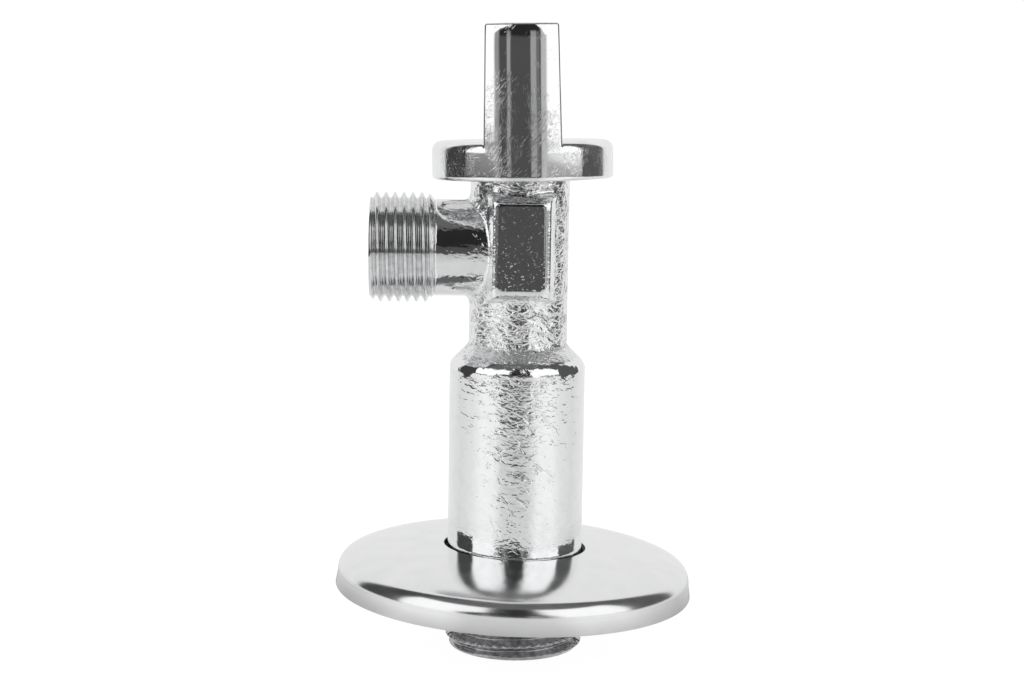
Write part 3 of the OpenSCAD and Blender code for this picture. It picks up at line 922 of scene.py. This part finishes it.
def table_tone(n):
    """How bright a reflection sees the table: its tone round the valve, less two shadows on it."""
    x, y, _ = n.split(n.place(turn=(0, 0, math.radians(VIEW_ANGLE))))
    around = n.math("ABSOLUTE", n.math("ARCTAN2", x, n.times(y, -1)))
    tone = n.ramp(n.range(around, 0, math.pi), [(a / 180, v) for a, v in TABLE_TONES])
    distance = n.math("SQRT", n.plus(n.math("POWER", x, 2.0), n.math("POWER", y, 2.0)))
    # the camera's own shadow, further out
    far_shadow = n.times(n.range(around, 0.5, 0.15), n.range(distance, 90, 240))
    tone = n.minus(tone, n.times(far_shadow, 0.2))
    # and the valve's, close round it
    near_shadow = n.times(n.range(around, 0.5, 1.7, 0.35), n.range(distance, 100, 60))
    return n.minus(tone, n.times(near_shadow, n.range(around, 0.5, 0.8, 0, 0.16)))


def ground(name, low, high, height, glossy=False):
    """A plain pale rectangle. Reflections see it a little dimmer than the camera does, or not at all."""
    corners = [
        (low[0], low[1], height),
        (high[0], low[1], height),
        (high[0], high[1], height),
        (low[0], high[1], height),
    ]
    obj = make_object(name, corners, [(0, 1, 2, 3)], smooth=False)
    material, n = new_material(name + "_white")
    strength = TABLE_LEVEL
    if glossy:
        in_reflection = n.add("ShaderNodeLightPath").outputs["Is Glossy Ray"]
        dimmer = n.times(n.minus(TABLE_LEVEL, table_tone(n)), in_reflection)
        strength = n.minus(TABLE_LEVEL, dimmer)
    else:
        obj.visible_glossy = False
    glow = n.add("ShaderNodeEmission", {"Color": (1, 1, 1, 1), "Strength": strength})
    matt = n.add("ShaderNodeBsdfDiffuse", {"Color": (0.12, 0.12, 0.12, 1)})
    both = n.add("ShaderNodeAddShader", {0: glow.outputs[0], 1: matt.outputs[0]})
    n.add("ShaderNodeOutputMaterial", {"Surface": both.outputs[0]})
    obj.data.materials.append(material)


# What reflections see round about, as (degrees round from the camera's side, brightness) stops.
# Less than 0 is to the camera's left.
WALLS_AND_GAPS = (
    (-180, 0.85), (-118, 0.85), (-113, 0.05), (-77, 0.05), (-75, 0), (-36, 0), (-34, 0.3), (-30, 0.3),
    (-28, 0), (22.5, 0), (24, 0.5), (30, 0.5), (31.5, 0), (80, 0), (82, 0.09), (120, 0.09),
    (125, 0.85), (180, 0.85),
)
LEFT_PANEL = ((-180, 0), (-77, 0), (-75, 1), (-36, 1), (-34, 0), (180, 0))
RIGHT_PANEL = ((-180, 0), (30, 0), (31.5, 1), (79, 1), (81, 0), (180, 0))
DARK_MIDDLE = ((-180, 0), (-30, 0), (-28, 1), (22, 1), (24, 0), (180, 0))
STRIPS = (
    (-180, 0), (-19.5, 0), (-19, 0.26), (-14.5, 0.26), (-14, 0),
    (10, 0), (10.5, 0.27), (17.3, 0.27), (17.8, 0.08), (22, 0.08), (22.5, 0), (180, 0),
)
# brightness of the side panels, by part of the way from 10 degrees below level to 10 above
LEFT_RISE = ((0, 0.12), (0.29, 0.12), (0.41, 0.32), (0.48, 1.1), (1, 1.1))
RIGHT_RISE = ((0, 0.33), (0.46, 0.36), (0.51, 1.1), (1, 1.1))
OVERHEAD_LEVEL = 0.12
STUDIO_LEVEL = 1.1


def build_world():
    """A white studio. Only reflections see its panels, the gaps between them and the strips."""
    world = bpy.data.worlds.new("studio")
    bpy.context.scene.world = world
    world.use_nodes = True
    n = Nodes(world.node_tree)
    x, y, z = n.split(n.add("ShaderNodeTexCoord").outputs["Generated"])
    # degrees round from the camera's side, and degrees up
    azimuth = n.math("ARCTAN2", x, n.times(y, -1))
    azimuth = n.minus(n.times(azimuth, 180 / math.pi), VIEW_ANGLE)
    up = n.times(n.math("ARCSINE", z), 180 / math.pi)
    turn = n.range(azimuth, -180, 180)
    near_level = n.range(up, -10, 10)

    def around(stops):
        return n.ramp(turn, [((a + 180) / 360, v) for a, v in stops])

    def between(low, high, low_value, high_value):
        return n.range(up, low, high, low_value, high_value)

    left = n.times(around(LEFT_PANEL), n.ramp(near_level, LEFT_RISE))
    right = n.times(around(RIGHT_PANEL), n.ramp(near_level, RIGHT_RISE))
    seen = n.plus(around(WALLS_AND_GAPS), n.plus(left, right))
    seen = n.plus(seen, n.times(around(DARK_MIDDLE), between(5, 8, 0.075, 0.02)))
    strip_height = n.times(between(-5.5, -4.2, 0, 1), between(11, 13, 1, 0))
    seen = n.plus(seen, n.times(around(STRIPS), strip_height))

    # the dark middle ends in an arch, with white beside it
    off_centre = n.math("ABSOLUTE", n.minus(azimuth, between(9, 20, -3.5, 2)))
    beside = n.range(n.minus(off_centre, between(9, 20, 31, 17)), 0, 1.5)
    beside = n.times(n.times(beside, n.range(off_centre, 44, 40)), between(7, 9, 0, 1.05))
    seen = n.math("MAXIMUM", seen, beside)

    # dark overhead, on the camera's side of the zenith only
    overhead = n.times(between(47, 51, 0, 1), n.range(y, 0.03, -0.07))
    seen = n.plus(n.times(seen, n.minus(1.0, overhead)), n.times(overhead, OVERHEAD_LEVEL))

    in_reflection = n.add("ShaderNodeLightPath").outputs["Is Glossy Ray"]
    level = n.times(n.minus(1.0, in_reflection), STUDIO_LEVEL)
    level = n.plus(n.times(in_reflection, seen), level)
    back = n.add("ShaderNodeBackground", {"Color": (1, 1, 1, 1), "Strength": level})
    n.add("ShaderNodeOutputWorld", {"Surface": back.outputs[0]})


ground("table", (-330, -330), (330, 1500), TABLE_HEIGHT, glossy=True)
ground("floor", (-4000, -4000), (4000, 4000), FLOOR_HEIGHT)
build_world()
bpy.context.scene.view_settings.view_transform = "Standard"
